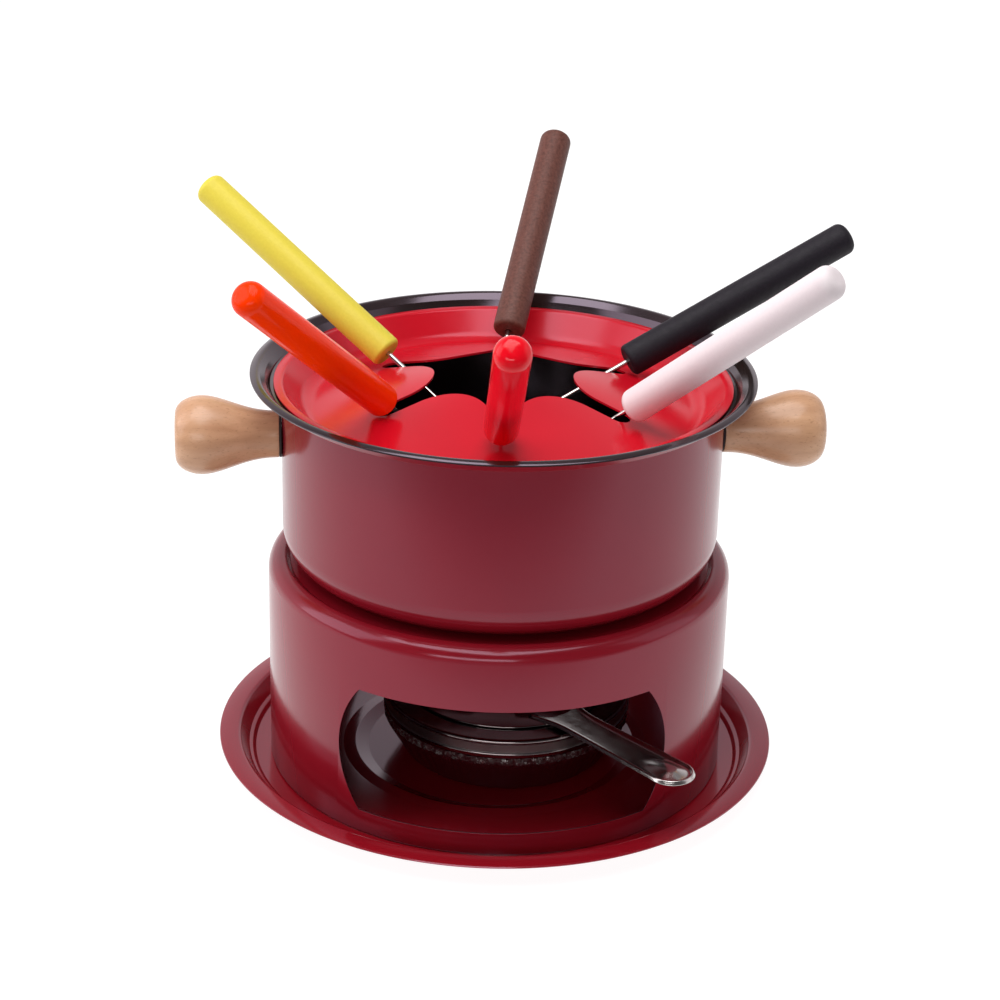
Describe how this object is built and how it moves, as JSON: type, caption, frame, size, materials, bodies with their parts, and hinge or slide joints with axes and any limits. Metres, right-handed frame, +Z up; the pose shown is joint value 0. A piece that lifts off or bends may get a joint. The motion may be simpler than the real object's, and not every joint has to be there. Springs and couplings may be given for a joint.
{
  "type": "fondue pot set",
  "caption": "Round enamelled fondue pot with wooden knobs on a windowed stand and tray, with a spirit burner and colour-handled forks in a star-shaped splash ring.",
  "frame": {"origin": "centre of the drip tray's flat underside", "axes": "+Z up; -Y towards the front, where the stand's window shows the burner; the knobs lie nearly along X"},
  "size_m": [0.2596, 0.2748, 0.2246],
  "materials": {
    "crimson_enamel": "glossy crimson enamel",
    "scarlet_enamel": "glossy scarlet enamel",
    "stainless_steel": "satin stainless steel",
    "beech_wood": "smooth turned beech",
    "dark_washer": "matte dark",
    "fuel_felt": "matte felt",
    "wire_gauze": "woven steel wire",
    "yellow_plastic": "satin yellow",
    "orange_plastic": "glossy orange",
    "red_plastic": "glossy red",
    "white_plastic": "satin pale pink white",
    "black_plastic": "matte black",
    "brown_plastic": "matte dark brown"
  },
  "bodies": {
    "tray": {"drip_tray": "crimson_enamel"},
    "stand": {"stand_shell": "crimson_enamel"},
    "burner": {"burner_bowl": "crimson_enamel", "burner_cover": "stainless_steel", "fuel_pad": "fuel_felt", "wire_gauze": "wire_gauze"},
    "regulator": {"regulator": "stainless_steel"},
    "pot": {"pot_body": "crimson_enamel", "handle_knob_left": "beech_wood", "handle_knob_right": "beech_wood", "handle_washer_left": "dark_washer", "handle_washer_right": "dark_washer", "handle_stud_left": "stainless_steel", "handle_stud_right": "stainless_steel"},
    "ring": {"fork_ring": "scarlet_enamel"},
    "fork_yellow": {"fork_handle_yellow": "yellow_plastic", "fork_shaft_yellow": "stainless_steel"},
    "fork_orange": {"fork_handle_orange": "orange_plastic", "fork_shaft_orange": "stainless_steel"},
    "fork_black": {"fork_handle_black": "black_plastic", "fork_shaft_black": "stainless_steel"},
    "fork_white": {"fork_handle_white": "white_plastic", "fork_shaft_white": "stainless_steel"},
    "fork_brown": {"fork_handle_brown": "brown_plastic", "fork_shaft_brown": "stainless_steel"},
    "fork_red": {"fork_handle_red": "red_plastic", "fork_shaft_red": "stainless_steel"}
  },
  "joints": [
    {"name": "stand_turn", "type": "hinge", "parent": "tray", "child": "stand", "pos_m": [0, 0, 0.003], "axis": [0, 0, 1], "range_deg": [0, 70]},
    {"name": "burner_draw", "type": "slide", "parent": "tray", "child": "burner", "axis": [0, -0.979, 0.204], "range_m": [0, 0.2]},
    {"name": "regulator_swing", "type": "hinge", "parent": "burner", "child": "regulator", "pos_m": [0.0042, 0, 0.029], "axis": [0, 0, 1], "range_deg": [-70, 0]},
    {"name": "pot_lift", "type": "slide", "parent": "stand", "child": "pot", "axis": [0, 0, 1], "range_m": [0, 0.12]},
    {"name": "ring_lift", "type": "slide", "parent": "pot", "child": "ring", "axis": [0, 0, 1], "range_m": [0, 0.1]},
    {"name": "fork_yellow_draw", "type": "slide", "parent": "ring", "child": "fork_yellow", "axis": [-0.7331, 0.4353, 0.5225], "range_m": [0, 0.13]},
    {"name": "fork_orange_draw", "type": "slide", "parent": "ring", "child": "fork_orange", "axis": [-0.4361, -0.6564, 0.6157], "range_m": [0, 0.13]},
    {"name": "fork_black_draw", "type": "slide", "parent": "ring", "child": "fork_black", "axis": [0.8494, 0.3008, 0.4337], "range_m": [0, 0.13]},
    {"name": "fork_white_draw", "type": "slide", "parent": "ring", "child": "fork_white", "axis": [0.6569, -0.3963, 0.6415], "range_m": [0, 0.13]},
    {"name": "fork_brown_draw", "type": "slide", "parent": "ring", "child": "fork_brown", "axis": [0.1808, 0.7896, 0.5864], "range_m": [0, 0.13]},
    {"name": "fork_red_draw", "type": "slide", "parent": "ring", "child": "fork_red", "axis": [0.0325, -0.8104, 0.585], "range_m": [0, 0.13]}
  ]
}
